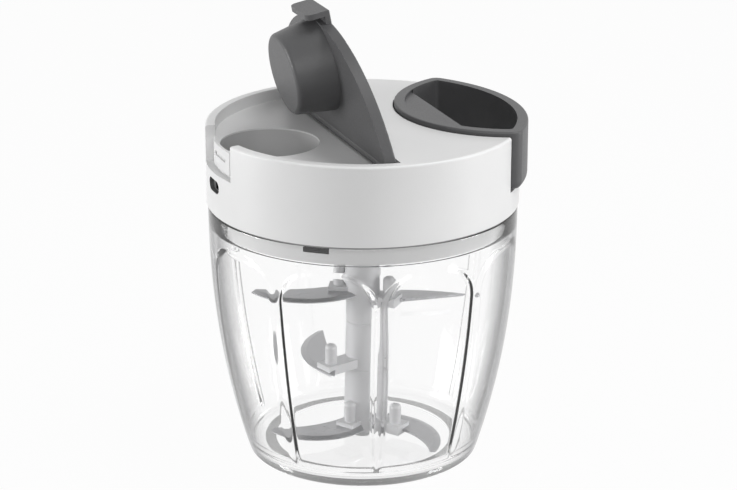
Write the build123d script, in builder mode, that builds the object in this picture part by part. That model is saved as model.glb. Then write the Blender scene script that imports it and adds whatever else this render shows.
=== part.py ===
from build123d import *
import math
import os

# Hand-pulled food chopper: a clear bowl, a lid with a fill flap and a pull handle, and a blade
# assembly on a pivot pin. Millimetres, +Z up. The origin is on the blades' axis at the bowl's
# underside, +X points to the pull handle and -X to the tab of the fill flap.

# Clearances
running_gap = 0.05  # radial, a pin or shaft in its own bore
free_gap = 0.3  # between curved faces that move past each other
handle_gap = 0.6  # round the pull handle in its pocket
seat_gap = 0.2  # round a piece dropped into its seat
overshoot = 1.0  # how far a cut runs past the face that it opens
near = 0.1  # how close an edge lies to the level it is chosen by

# Bowl
bowl_height = 109.5
bowl_rim_radius = 64.5
bowl_foot_radius = 48.5
bowl_curve = 2.2  # power of the wall's curve: larger stays wide further down
bowl_wall = 2.2
bowl_floor = 4.5
bowl_foot_fillet = 2.5
bowl_inner_fillet = 3.0
bowl_rim_fillet = 0.6
rebate_drop = 0.6  # from the lid base's skirt down to the ledge it hangs over
rib_height = 0.9  # how far the ribs between the panels stand out of them
rib_width = 4.5
rib_count = 9
rib_angle = -104.6  # where the first rib stands
panel_corner = 15.0
panel_low = 8.5
panel_drop = 12.0  # from the bowl's rim down to the panels' arched tops
key_angle = 4.0  # where the first key stands
key_width = 8.0
key_height = 4.0
key_rise = 1.2  # from the ledge up to a key
key_depth = 1.5
ring_inset = 6.5  # from the foot of the wall in to the ring
ring_width = 4.4
ring_height = 3.0
pivot_radius = 2.0
pivot_round = 1.6
pivot_top = 27.6
pivot_seat = 1.5  # height of the blind hole's end above the base

# Lid
lid_reach = 0.5  # how far the lid stands out past the bowl's rim
lid_wall = 3.0
gasket_height = 0.8
lid_height = 33.3
lid_edge_fillet = 1.0
top_thickness = 2.5
recess_depth = 5.0
recess_rim = 4.0  # thickness of the rim wall round the recess
chute_edge = 0.1  # from the recess's wall in to the fill chute
collar_step = 2.0  # how far the lid base's collar stands in from the chute's wall
chute_wall = 2.2
chute_lap = 0.4  # from the lid's lower edge up to the chute's foot
hinge_distance = 10.8  # distance of the flap's hinge from the axis
hinge_depth = 3.0  # of the flap's hinge below the lid's top
barrel_radius = 2.0
hinge_pin_radius = 1.0
notch_half_angle = 14.5
notch_height = 15.1  # from the lid's top down to the notch's floor
notch_depth = 3.4
notch_backing = 1.4  # of the wall behind the notch and under it
catch_width = 21.5
catch_depth = 2.8  # how far the catch pad is set back from the lid's side
catch_foot = 1.0  # from the notch's floor up to the catch pad
catch_rise = 0.4  # how far the catch pad stands above the recess
catch_slot_width = 13.5
catch_slot_height = 1.8
catch_slot_drop = 8.7  # from the lid's top
side_slot_width = 12.3
side_slot_height = 5.4
side_slot_drop = 20.7  # from the lid's top
side_slot_depth = 2.0
side_hole_width = 6.0
side_hole_height = 4.4
side_hole_depth = 1.4  # beyond the slot's floor
catch_slot_depth = 1.0  # beyond the catch pad's face

# Lid base
base_plate_drop = 6.0  # from the lid's lower edge
base_plate_thickness = 2.0
skirt_gap = 0.5  # between the bowl's rim and the skirt inside it
skirt_wall = 2.3
skirt_drop = 8.0  # from the lid's lower edge
skirt_rise = 4.0  # above the lid's lower edge
window_angle = -128.2
window_count = 3
window_width = 10.7
window_height = 3.6
window_gap = 0.3  # from a window's top up to the lid shell
screw_well_radius = 4.6
screw_well_height = 3.6
screw_head_radius = 2.8
screw_head_height = 1.7
screw_radius = 1.25
screw_length = 10.0
screw_head_sink = 0.4  # how far the screws' heads stand inside their wells' roofs
screw_inset = 12.0  # from the lid's inner wall
screw_angles = [74.0, 129.0]  # on each side of +X
post_inset = 1.5  # between the spring case and the posts beside it
post_radius = 3.2
post_height = 3.0
case_screw_radius = 1.0
case_screw_head_radius = 2.0
case_screw_head_height = 1.5

# Fill flap
flap_open_angle = 79.0  # how far the flap stands open as modelled
flap_thickness = 4.5
flap_edge_gap = 0.8
flap_root = 1.5  # how far the plate reaches past the hinge axis
tab_width = 21.0
tab_thickness = 2.3
tab_drop = 10.0
tab_corner = 3.0
tab_root = 27.0  # where the tab starts under the plate, from the hinge
plug_gap = 0.6  # between the plug's root and the chute's wall
plug_taper = 2.8  # how much the plug narrows to its end
plug_length = 17.0
plug_wall = 1.8
plug_fillet = 2.0
flap_edge_fillet = 0.6
catch_ridge = 0.4

# Pull handle
handle_inner_radius = 47.5  # arc of the side that faces the axis
handle_innermost = 17.4
handle_proud = 3.2  # how far the handle stands out of the lid's side
handle_drop = 22.8  # from the lid's top
handle_rise = 2.0  # how far its rim stands above the lid's top
handle_rim = 4.5
handle_web_depth = 1.3
handle_web_width = 16.6
handle_web_thickness = 2.5
handle_floor_gap = 0.8
handle_low_fillet = 3.0
handle_top_fillet = 0.8
handle_corner = 4.5
handle_wall = 2.5
opening_corner = 2.0
pocket_wall = 1.8

# Blade assembly
hub_low = 5.0
hub_foot_radius = 7.0
hub_lower_top = 35.4
hub_middle_top = 56.3
hub_collar_height = 26.3
hub_gap = 0.6  # from the hub's top up to the spindle's shoulder
hub_seam_lower_radius = 6.1
hub_seam_upper_radius = 5.6
hub_collar_radius = 7.5
hub_seam_chamfer = 0.3
core_radius = 2.5
core_gap = 1.9  # from the core rod up to the spindle
core_foot = 0.4  # from the pivot pin's end up to the core rod
post_pin_radius = 2.5
post_pin_height = 8.5
post_pin_round = 1.8
arm_width = 8.5
arm_under = 1.0
arm_over = 1.7
blade_thickness = 1.2
blade_root = 3.4  # how near the blade's root comes to the axis
blade_bevel = 2.6
blade_bevel_depth = 0.8
tip_width = 1.6
hub_foot_round = 2.6
hexagon_across = 7.8
hexagon_depth = 14.0

# Cord works
spindle_radius = 4.0
spindle_tail_radius = 3.0
shoulder_play = 0.4  # from the spindle's shoulder up to the base plate
step_sink = 0.2  # of the spindle's step below the bush's flange
spindle_end = 1.2  # of spindle above its clip
bush_radius = 5.5
bush_flange_radius = 6.6
bush_flange = 0.7
boss_radius = 7.0
boss_height = 1.5
arbor_radius = 5.0
arbor_play = 0.4  # from the bush's flange up to the reel's arbor
reel_play = 1.1  # from the spring case up to the reel
reel_flange = 1.2
reel_flange_radius = 12.6
drum_radius = 7.0
winding_radius = 11.5
winding_height = 8.0
ratchet_gap = 0.25
ratchet_height = 2.3
ratchet_radius = 7.2
ratchet_tooth = 1.5
ratchet_teeth = 12
pawl_radius = 9.9
pawl_post_radius = 0.9
pawl_lead = 24.0  # angle from a pawl's post to the middle of its arm
pawl_half_angle = 24.0
clip_height = 0.6
clip_radius = 5.2
clip_groove_radius = 2.4
clip_mouth = 3.8
clip_play = 0.35  # from the ratchet wheel up to the clip
spring_rise = 2.4  # from the base plate up to the spring
spring_height = 7.2
spring_strip = 0.5
spring_step = 0.8
spring_start = 5.9
spring_half_turns = 13
case_radius = 17.8
case_wall = 1.5
spring_play = 0.6  # from the spring up to its case's roof
case_top_thickness = 1.0
case_ear_thickness = 2.0
cord_radius = 0.8
cord_turn_radius = 2.0
cord_turn_place = 1.2  # from the pocket's wall back to the cord's corner
cord_end = 1.0  # of cord beyond the ferrule
guide_bore = 1.1
guide_radius = 2.2
guide_flange_radius = 3.0
guide_flange = 0.9
guide_sink = 0.1  # of the eyelet's end below the pocket's wall
ferrule_radius = 2.4
ferrule_length = 5.0
ferrule_gap = 0.1  # between the ferrule and the handle's curved wall

# Worked out from the above
panel_top = bowl_height - panel_drop
ring_outer_radius = bowl_foot_radius - ring_inset
ring_inner_radius = ring_outer_radius - ring_width
lid_radius = bowl_rim_radius + lid_reach
lid_bottom = bowl_height + gasket_height
lid_top = lid_bottom + lid_height
lid_inner_radius = lid_radius - lid_wall
recess_radius = lid_radius - recess_rim
recess_floor = lid_top - recess_depth
recess_ceiling = recess_floor - top_thickness
hinge_height = lid_top - hinge_depth
notch_low = lid_top - notch_height
catch_low = notch_low + catch_foot
catch_top = recess_floor + catch_rise
catch_slot_level = lid_top - catch_slot_drop
side_slot_level = lid_top - side_slot_drop
base_plate_low = lid_bottom - base_plate_drop
base_plate_top = base_plate_low + base_plate_thickness
skirt_radius = bowl_rim_radius - bowl_wall - skirt_gap
skirt_low = lid_bottom - skirt_drop
skirt_top = lid_bottom + skirt_rise
window_high = lid_bottom - window_gap
rebate_level = skirt_low - rebate_drop
screw_circle = lid_inner_radius - screw_inset
screw_places = [
    (
        screw_circle * math.cos(math.radians(side * angle)),
        screw_circle * math.sin(math.radians(side * angle)),
    )
    for angle in screw_angles
    for side in (1, -1)
]
post_distance = case_radius + post_inset + post_radius
chute_radius = (recess_radius - chute_edge - chute_wall - free_gap - case_radius) / 2
chute_centre = recess_radius - chute_edge - chute_radius
chute_outer_radius = chute_radius + chute_wall
chute_foot = lid_bottom + chute_lap
collar_radius = chute_radius - collar_step
barrel_groove = barrel_radius + free_gap
trough_floor = hinge_height - barrel_groove
flap_high = hinge_depth
flap_low = flap_high - flap_thickness
step_place = -hinge_distance + math.hypot(flap_root, flap_high) + free_gap
plug_root_radius = chute_radius - plug_gap
plug_end_radius = plug_root_radius - plug_taper
handle_low = lid_top - handle_drop
handle_high = lid_top + handle_rise
handle_outer_radius = lid_radius + handle_proud
handle_centre = handle_innermost + handle_inner_radius
handle_web_edge = handle_innermost + handle_web_width
pocket_floor = handle_low - handle_floor_gap
pocket_underside = pocket_floor - pocket_wall
bush_top = base_plate_top + boss_height + bush_flange
spindle_shoulder = base_plate_low - shoulder_play
spindle_step = bush_top - step_sink
spring_low = base_plate_top + spring_rise
case_top = spring_low + spring_height + spring_play + case_top_thickness
arbor_low = bush_top + arbor_play
reel_low = case_top + reel_play
winding_low = reel_low + reel_flange
winding_high = winding_low + winding_height
reel_high = winding_high + reel_flange
cord_level = winding_low + winding_height / 2
ratchet_low = reel_high + ratchet_gap
clip_low = ratchet_low + ratchet_height + clip_play
spindle_top = clip_low + clip_height + spindle_end
hub_top = spindle_shoulder - hub_gap
hub_collar_low = hub_top - hub_collar_height
core_low = pivot_top + core_foot
core_top = spindle_shoulder - hexagon_depth - core_gap
flap_chord = 2 * math.sqrt(recess_radius**2 - hinge_distance**2)
barrel_length = flap_chord - 2 * flap_edge_gap
shell_boss_low = base_plate_top + screw_well_height
guide_low = handle_innermost - handle_gap - pocket_wall
cord_corner = guide_low - cord_turn_place
screw_seat_level = shell_boss_low - 2 * screw_radius + screw_head_sink


def bowl_radius(height):
    """Outer radius of the bowl's wall at a height."""
    drop = (bowl_rim_radius - bowl_foot_radius) * (1 - height / bowl_height) ** bowl_curve
    return bowl_rim_radius - drop


def wall_points(low, high, inset):
    """Points up the bowl's wall from low to high, set in by inset."""
    steps = 7
    levels = [low + (high - low) * step / steps for step in range(steps + 1)]
    return [(bowl_radius(level) - inset, level) for level in levels]


def ring_sector(inner_radius, outer_radius, middle_angle, half_angle):
    """A piece of a flat ring about the axis, between two radii and two angles."""
    with BuildSketch() as sector:
        with BuildLine():
            outer_arc = CenterArc((0, 0), outer_radius, middle_angle - half_angle, 2 * half_angle)
            inner_arc = CenterArc((0, 0), inner_radius, middle_angle - half_angle, 2 * half_angle)
            Line(outer_arc @ 0, inner_arc @ 0)
            Line(outer_arc @ 1, inner_arc @ 1)
        make_face()
    return sector.sketch


def disc_part(radius, low_x, high_x):
    """The part of a disc about the axis that lies between two values of x."""
    with BuildSketch() as part_of_disc:
        Circle(radius)
        with Locations(((low_x + high_x) / 2, 0)):
            Rectangle(high_x - low_x, 3 * radius, mode=Mode.INTERSECT)
    return part_of_disc.sketch


def lens(grow, low_x=0.0, high_x=2 * lid_radius):
    """The pull handle's outline in plan, grown by grow, between two values of x."""
    with BuildSketch() as outline:
        Circle(handle_outer_radius + grow)
        with Locations((handle_centre, 0)):
            Circle(handle_inner_radius + grow, mode=Mode.INTERSECT)
        with Locations(((low_x + high_x) / 2, 0)):
            Rectangle(high_x - low_x, 4 * lid_radius, mode=Mode.INTERSECT)
    return outline.sketch


def blade_turn(angle):
    """A plane at the axis, turned so that its x points along a blade."""
    return Plane(origin=(0, 0, 0), x_dir=(math.cos(math.radians(angle)), math.sin(math.radians(angle)), 0))


# Each blade: the piece of the hub that holds it, its level, the angle of its tip and the tip's
# clearance from the bowl's wall, how far its cutting edge and its back bow out half-way, the two
# ends of its root, and the arm and its post.
blades = {
    "blade_upper_left": dict(hub="upper", level=69.5, angle=162.2, gap=12.6, edge=14.0, back=-1.1,
                             root_edge=(blade_root, 6.9), root_back=(blade_root, -6.8), post=(-9.0, 4.5)),
    "blade_upper_right": dict(hub="upper", level=66.5, angle=-16.6, gap=15.6, edge=6.7, back=-5.3,
                              root_edge=(blade_root, 6.9), root_back=(blade_root, -8.4), post=(8.5, -8.5)),
    "blade_middle": dict(hub="middle", level=38.4, angle=100.5, gap=17.1, edge=19.5, back=6.3,
                         root_edge=(-10.2, 20.1), root_back=(-0.7, 13.6), post=(-16.4, -5.4)),
    "blade_lower_left": dict(hub="lower", level=10.7, angle=177.5, gap=7.7, edge=16.3, back=1.2,
                             root_edge=(blade_root, 11.5), root_back=(blade_root, -5.2), post=(-7.7, -4.9)),
    "blade_lower_right": dict(hub="lower", level=10.7, angle=-70.1, gap=3.4, edge=17.3, back=5.0,
                              root_edge=(blade_root, 13.8), root_back=(blade_root, -2.6), post=(9.4, -13.6)),
}

os.makedirs("parts", exist_ok=True)

# Bowl

with BuildPart() as panel_ring:
    with BuildSketch(Plane.XZ):
        with BuildLine():
            panel_back = Spline(*wall_points(panel_low, panel_top, bowl_wall))
            panel_front = Spline(*wall_points(panel_low, panel_top, bowl_wall + rib_height + overshoot))
            Line(panel_back @ 0, panel_front @ 0)
            Line(panel_back @ 1, panel_front @ 1)
        make_face()
    revolve(axis=Axis.Z)

# Outlines of the panels between the ribs, which keep their width as the bowl narrows.
with BuildPart() as panel_prisms:
    half_pitch = 180.0 / rib_count
    halves = [
        (bowl_radius(level) - bowl_wall) * math.sin(math.radians(half_pitch)) - rib_width / 2
        for level in (panel_low, panel_top)
    ]
    for number in range(rib_count):
        middle = math.radians(rib_angle + half_pitch * (2 * number + 1))
        outward = Vector(math.cos(middle), math.sin(middle), 0)
        sideways = Vector(-math.sin(middle), math.cos(middle), 0)
        cut_plane = Plane(origin=outward * bowl_foot_radius / 2, x_dir=sideways, z_dir=outward)
        with BuildSketch(cut_plane) as outline:
            with BuildLine():
                Polyline(
                    (-halves[0], panel_low),
                    (halves[0], panel_low),
                    (halves[1], panel_top),
                    (-halves[1], panel_top),
                    close=True,
                )
            make_face()
            fillet(outline.vertices().sort_by(Axis.Y)[-2:], radius=panel_corner)
        extrude(amount=bowl_rim_radius)

with BuildPart() as panels:
    add(panel_ring.part)
    add(panel_prisms.part, mode=Mode.INTERSECT)

with BuildPart() as bowl:
    with BuildSketch(Plane.XZ):
        with BuildLine():
            outer_wall = Spline(*wall_points(0, bowl_height, 0))
            rim = Line(outer_wall @ 1, (bowl_rim_radius - bowl_wall, bowl_height))
            rebate = Line(rim @ 1, (bowl_rim_radius - bowl_wall, rebate_level))
            inner_points = wall_points(bowl_floor, rebate_level, bowl_wall + rib_height)
            Line(rebate @ 1, inner_points[-1])
            inner_wall = Spline(*inner_points)
            Line(inner_wall @ 0, (0, bowl_floor))
            Line((0, bowl_floor), (0, 0))
            Line((0, 0), outer_wall @ 0)
        make_face()
    revolve(axis=Axis.Z)
    circles = bowl.edges().filter_by(GeomType.CIRCLE)
    fillet(circles.filter_by_position(Axis.Z, -near, near), radius=bowl_foot_fillet)
    circles = bowl.edges().filter_by(GeomType.CIRCLE)
    floor_edges = circles.filter_by_position(Axis.Z, bowl_floor - near, bowl_floor + near)
    fillet(floor_edges, radius=bowl_inner_fillet)
    circles = bowl.edges().filter_by(GeomType.CIRCLE)
    rim_edges = circles.filter_by_position(Axis.Z, bowl_height - near, bowl_height + near)
    fillet(rim_edges, radius=bowl_rim_fillet)
    with BuildSketch():
        Circle(ring_outer_radius)
        Circle(ring_inner_radius, mode=Mode.SUBTRACT)
    extrude(amount=ring_height, mode=Mode.SUBTRACT)
    with BuildSketch(Plane.XY.offset(pivot_seat)):
        Circle(pivot_radius)
    extrude(amount=bowl_floor, mode=Mode.SUBTRACT)
    add(panels.part, mode=Mode.SUBTRACT)
    key_half_angle = math.degrees(key_width / 2 / bowl_rim_radius)
    key_inner = bowl_rim_radius - bowl_wall - key_depth
    with BuildSketch(Plane.XY.offset(rebate_level + key_rise)):
        for side in (key_angle, key_angle + 180):
            add(ring_sector(key_inner, bowl_rim_radius - bowl_wall / 2, side, key_half_angle))
    extrude(amount=key_height)
bowl.part.label = "bowl"
export_step(bowl.part, "parts/bowl.step")

with BuildPart() as base_ring:
    with BuildSketch():
        Circle(ring_outer_radius)
        Circle(ring_inner_radius, mode=Mode.SUBTRACT)
    extrude(amount=ring_height)
base_ring.part.label = "base_ring"
export_step(base_ring.part, "parts/base_ring.step")

with BuildPart() as pivot_pin:
    with BuildSketch(Plane.XY.offset(pivot_seat)):
        Circle(pivot_radius)
    extrude(amount=pivot_top - pivot_seat)
    fillet(pivot_pin.edges().sort_by(Axis.Z)[-1], radius=pivot_round)
pivot_pin.part.label = "pivot_pin"
export_step(pivot_pin.part, "parts/pivot_pin.step")

# Lid

# The hollow inside the lid: it goes round the fill chute, the walls and floor of the handle's
# pocket, the web under the hinge's trough, the wall behind the notch and the screw bosses.
with BuildPart() as lid_hollow:
    with BuildSketch(Plane.XY.offset(lid_bottom)):
        Circle(lid_inner_radius)
    extrude(amount=recess_ceiling - lid_bottom)
    with BuildSketch(Plane.XY.offset(recess_ceiling)):
        add(disc_part(lid_inner_radius, step_place + top_thickness, lid_radius))
    extrude(amount=lid_top - top_thickness - recess_ceiling)
    with BuildSketch(Plane.XY.offset(chute_foot)):
        with Locations((-chute_centre, 0)):
            Circle(chute_outer_radius)
    extrude(amount=lid_top - chute_foot, mode=Mode.SUBTRACT)
    with BuildSketch(Plane.XY.offset(pocket_underside)):
        add(lens(handle_gap + pocket_wall))
    extrude(amount=lid_top - pocket_underside, mode=Mode.SUBTRACT)
    with BuildSketch(Plane.XY.offset(trough_floor - pocket_wall)):
        trough_low = -hinge_distance - barrel_groove - pocket_wall
        add(disc_part(lid_radius, trough_low, step_place + top_thickness))
    extrude(amount=lid_top - trough_floor + pocket_wall, mode=Mode.SUBTRACT)
    with BuildSketch(Plane.XY.offset(notch_low - notch_backing)):
        backing_inner = lid_radius - notch_depth - notch_backing
        backing_half_angle = notch_half_angle + math.degrees(notch_backing / lid_radius)
        add(ring_sector(backing_inner, lid_radius, 180, backing_half_angle))
    extrude(amount=lid_top - notch_low + notch_backing, mode=Mode.SUBTRACT)
    with BuildSketch(Plane.XY.offset(shell_boss_low)):
        with Locations(*screw_places):
            Circle(screw_well_radius)
    extrude(amount=lid_top - shell_boss_low, mode=Mode.SUBTRACT)

with BuildPart() as lid_shell:
    with BuildSketch(Plane.XY.offset(lid_bottom)):
        Circle(lid_radius)
    extrude(amount=lid_top - lid_bottom)
    fillet(lid_shell.edges().sort_by(Axis.Z)[-1], radius=lid_edge_fillet)
    add(lid_hollow.part, mode=Mode.SUBTRACT)
    with BuildSketch(Plane.XY.offset(shell_boss_low)):
        with Locations(*screw_places):
            Circle(screw_radius)
    extrude(amount=screw_length, mode=Mode.SUBTRACT)
    # The recess, its chute and the trough for the flap's barrel
    with BuildSketch(Plane.XY.offset(recess_floor)):
        add(disc_part(recess_radius, -lid_radius, step_place))
    extrude(amount=recess_depth + overshoot, mode=Mode.SUBTRACT)
    with BuildSketch(Plane.XY.offset(chute_foot)):
        with Locations((-chute_centre, 0)):
            Circle(chute_radius)
    extrude(amount=lid_top - chute_foot, mode=Mode.SUBTRACT)
    with BuildSketch(Plane.XY.offset(trough_floor)):
        add(disc_part(recess_radius, -hinge_distance - barrel_groove, step_place))
    extrude(amount=recess_depth, mode=Mode.SUBTRACT)
    with BuildSketch(Plane.XZ):
        with Locations((-hinge_distance, hinge_height)):
            Circle(hinge_pin_radius)
    extrude(amount=flap_chord / 2 + recess_rim / 2, both=True, mode=Mode.SUBTRACT)
    # The handle's pocket, open at the top and at the side
    with BuildSketch(Plane.XY.offset(pocket_floor)):
        add(lens(handle_gap))
    extrude(amount=lid_top - pocket_floor + overshoot, mode=Mode.SUBTRACT)
    with BuildSketch(Plane.YZ.offset(handle_innermost - handle_gap - 2 * pocket_wall)):
        with Locations((0, cord_level)):
            Circle(guide_radius)
    extrude(amount=3 * pocket_wall, mode=Mode.SUBTRACT)
    # The notch for the flap's tab, the catch pad in it and the slot below
    with BuildSketch(Plane.XY.offset(notch_low)):
        add(ring_sector(lid_radius - notch_depth, lid_radius + overshoot, 180, notch_half_angle))
    extrude(amount=lid_top - notch_low + overshoot, mode=Mode.SUBTRACT)
    with BuildSketch(Plane.XY.offset(catch_top)):
        add(ring_sector(recess_radius - overshoot, lid_radius + overshoot, 180, notch_half_angle))
    extrude(amount=lid_top - catch_top + overshoot, mode=Mode.SUBTRACT)
    catch_half_angle = math.degrees(catch_width / 2 / lid_radius)
    with BuildSketch(Plane.XY.offset(catch_low)):
        add(ring_sector(lid_radius - notch_depth - near, lid_radius - catch_depth, 180, catch_half_angle))
    extrude(amount=catch_top - catch_low)
    with BuildSketch(Plane.XY.offset(recess_floor)):
        add(ring_sector(chute_centre + chute_radius + near, lid_radius - catch_depth, 180, catch_half_angle))
    extrude(amount=catch_top - recess_floor)
    with BuildSketch(Plane.YZ.offset(-lid_radius)):
        with Locations((0, catch_slot_level)):
            SlotOverall(catch_slot_width, catch_slot_height)
    extrude(amount=catch_depth + catch_slot_depth, mode=Mode.SUBTRACT)
    with BuildSketch(Plane.YZ.offset(-lid_radius)):
        with Locations((0, side_slot_level)):
            SlotOverall(side_slot_width, side_slot_height)
    extrude(amount=side_slot_depth, mode=Mode.SUBTRACT)
    with BuildSketch(Plane.YZ.offset(-lid_radius)):
        with Locations((0, side_slot_level)):
            Rectangle(side_hole_width, side_hole_height)
    extrude(amount=side_slot_depth + side_hole_depth, mode=Mode.SUBTRACT)
lid_shell.part.label = "lid_shell"
export_step(lid_shell.part, "parts/lid_shell.step")

with BuildPart() as lid_base:
    with BuildSketch(Plane.XY.offset(skirt_low)):
        Circle(skirt_radius)
    extrude(amount=skirt_top - skirt_low)
    with BuildSketch(Plane.XY.offset(base_plate_top)):
        Circle(skirt_radius - skirt_wall)
    extrude(amount=skirt_top - base_plate_top, mode=Mode.SUBTRACT)
    with BuildSketch(Plane.XY.offset(skirt_low)):
        Circle(skirt_radius - skirt_wall)
    extrude(amount=base_plate_low - skirt_low, mode=Mode.SUBTRACT)
    with BuildSketch(Plane.XY.offset(base_plate_top)):
        Circle(boss_radius)
    extrude(amount=boss_height)
    with BuildSketch(Plane.XY.offset(base_plate_top)):
        with Locations(*screw_places):
            Circle(screw_well_radius)
    extrude(amount=screw_well_height)
    with BuildSketch(Plane.XY.offset(base_plate_top)):
        with Locations((0, post_distance), (0, -post_distance)):
            Circle(post_radius)
    extrude(amount=post_height)
    # The collar that carries on the chute, and room above it for the chute's wall
    with BuildSketch(Plane.XY.offset(skirt_low)):
        with Locations((-chute_centre, 0)):
            Circle(chute_outer_radius)
        Circle(skirt_radius, mode=Mode.INTERSECT)
    extrude(amount=chute_foot - skirt_low)
    with BuildSketch(Plane.XY.offset(chute_foot)):
        with Locations((-chute_centre, 0)):
            Circle(chute_outer_radius + seat_gap)
    extrude(amount=skirt_top - chute_foot, mode=Mode.SUBTRACT)
    with BuildSketch(Plane.XY.offset(skirt_low)):
        with Locations((-chute_centre, 0)):
            Circle(collar_radius)
    extrude(amount=skirt_top - skirt_low, mode=Mode.SUBTRACT)
    # The bush's bore, the screws' wells and holes, and the case screws' holes
    with BuildSketch(Plane.XY.offset(base_plate_low)):
        Circle(bush_radius)
    extrude(amount=base_plate_thickness + boss_height, mode=Mode.SUBTRACT)
    with BuildSketch(Plane.XY.offset(base_plate_low)):
        with Locations(*screw_places):
            Circle(screw_head_radius + seat_gap)
    extrude(amount=screw_seat_level - base_plate_low, mode=Mode.SUBTRACT)
    with BuildSketch(Plane.XY.offset(base_plate_low)):
        with Locations(*screw_places):
            Circle(screw_radius + seat_gap)
    extrude(amount=shell_boss_low - base_plate_low, mode=Mode.SUBTRACT)
    with BuildSketch(Plane.XY.offset(base_plate_top)):
        with Locations((0, post_distance), (0, -post_distance)):
            Circle(case_screw_radius)
    extrude(amount=post_height, mode=Mode.SUBTRACT)
    # Windows in the skirt, and the notches that ride over the bowl's keys
    window_half_angle = math.degrees(window_width / 2 / skirt_radius)
    with BuildSketch(Plane.XY.offset(window_high - window_height)) as windows:
        for number in range(window_count):
            middle = window_angle + number * 360 / window_count
            window_inner = skirt_radius - skirt_wall - overshoot
            add(ring_sector(window_inner, skirt_radius + overshoot, middle, window_half_angle))
    extrude(amount=window_height, mode=Mode.SUBTRACT)
    notch_half = math.degrees((key_width / 2 + handle_gap) / skirt_radius)
    with BuildSketch(Plane.XY.offset(skirt_low)):
        for side in (key_angle, key_angle + 180):
            add(ring_sector(key_inner - free_gap, skirt_radius + overshoot, side, notch_half))
    extrude(amount=key_height + 2 * handle_gap, mode=Mode.SUBTRACT)
lid_base.part.label = "lid_base"
export_step(lid_base.part, "parts/lid_base.step")

with BuildPart() as lid_gasket:
    with BuildSketch(Plane.XY.offset(bowl_height)):
        Circle(bowl_rim_radius - free_gap)
        Circle(lid_inner_radius + seat_gap, mode=Mode.SUBTRACT)
    extrude(amount=gasket_height)
lid_gasket.part.label = "lid_gasket"
export_step(lid_gasket.part, "parts/lid_gasket.step")

with BuildPart() as lid_screws:
    with BuildSketch(Plane.XY.offset(screw_seat_level - screw_head_height)):
        with Locations(*screw_places):
            Circle(screw_head_radius)
    extrude(amount=screw_head_height)
    with BuildSketch(Plane.XY.offset(screw_seat_level)):
        with Locations(*screw_places):
            Circle(screw_radius)
    extrude(amount=screw_length)
lid_screws.part.label = "lid_screws"
export_step(lid_screws.part, "parts/lid_screws.step")

with BuildPart() as spindle_bush:
    with BuildSketch(Plane.XY.offset(base_plate_low)):
        Circle(bush_radius)
    extrude(amount=base_plate_thickness + boss_height)
    with BuildSketch(Plane.XY.offset(base_plate_top + boss_height)):
        Circle(bush_flange_radius)
    extrude(amount=bush_flange)
    with BuildSketch(Plane.XY.offset(base_plate_low)):
        Circle(spindle_radius + running_gap)
    extrude(amount=bush_top - base_plate_low, mode=Mode.SUBTRACT)
spindle_bush.part.label = "spindle_bush"
export_step(spindle_bush.part, "parts/spindle_bush.step")

# Cord works in the lid

with BuildPart() as spring_case:
    with BuildSketch(Plane.XY.offset(base_plate_top)):
        Circle(case_radius)
    extrude(amount=case_top - base_plate_top)
    with BuildSketch(Plane.XY.offset(base_plate_top + post_height)):
        Rectangle(2 * post_radius, 2 * (post_distance + post_radius))
        Circle(post_distance + post_radius, mode=Mode.INTERSECT)
    extrude(amount=case_ear_thickness)
    with BuildSketch(Plane.XY.offset(base_plate_top)):
        Circle(case_radius - case_wall)
    extrude(amount=case_top - case_top_thickness - base_plate_top, mode=Mode.SUBTRACT)
    with BuildSketch(Plane.XY.offset(base_plate_top)):
        Circle(arbor_radius + handle_gap)
    extrude(amount=case_top - base_plate_top, mode=Mode.SUBTRACT)
    with BuildSketch(Plane.XY.offset(base_plate_top + post_height)):
        with Locations((0, post_distance), (0, -post_distance)):
            Circle(case_screw_radius + seat_gap)
    extrude(amount=case_ear_thickness, mode=Mode.SUBTRACT)
spring_case.part.label = "spring_case"
export_step(spring_case.part, "parts/spring_case.step")

with BuildPart() as case_screws:
    ear_top = base_plate_top + post_height + case_ear_thickness
    with BuildSketch(Plane.XY.offset(ear_top)):
        with Locations((0, post_distance), (0, -post_distance)):
            Circle(case_screw_head_radius)
    extrude(amount=case_screw_head_height)
    with BuildSketch(Plane.XY.offset(base_plate_top)):
        with Locations((0, post_distance), (0, -post_distance)):
            Circle(case_screw_radius)
    extrude(amount=post_height + case_ear_thickness)
case_screws.part.label = "case_screws"
export_step(case_screws.part, "parts/case_screws.step")

# The spring's strip is a chain of half circles about two centres, so its turns stay evenly spaced.
with BuildPart() as recoil_spring:
    with BuildSketch(Plane.XY.offset(spring_low)):
        with BuildLine():
            for side in (-1, 1):
                for number in range(spring_half_turns):
                    turn_radius = spring_start + number * spring_step + side * spring_strip / 2
                    turn_centre = (spring_step if number % 2 else 0, 0)
                    arc = CenterArc(turn_centre, turn_radius, 180 * (number % 2), 180)
                    if number == 0:
                        start = arc @ 0
                if side < 0:
                    inner_ends = (start, arc @ 1)
                else:
                    Line(inner_ends[0], start)
                    Line(inner_ends[1], arc @ 1)
        make_face()
    extrude(amount=spring_height)
recoil_spring.part.label = "recoil_spring"
export_step(recoil_spring.part, "parts/recoil_spring.step")

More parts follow.
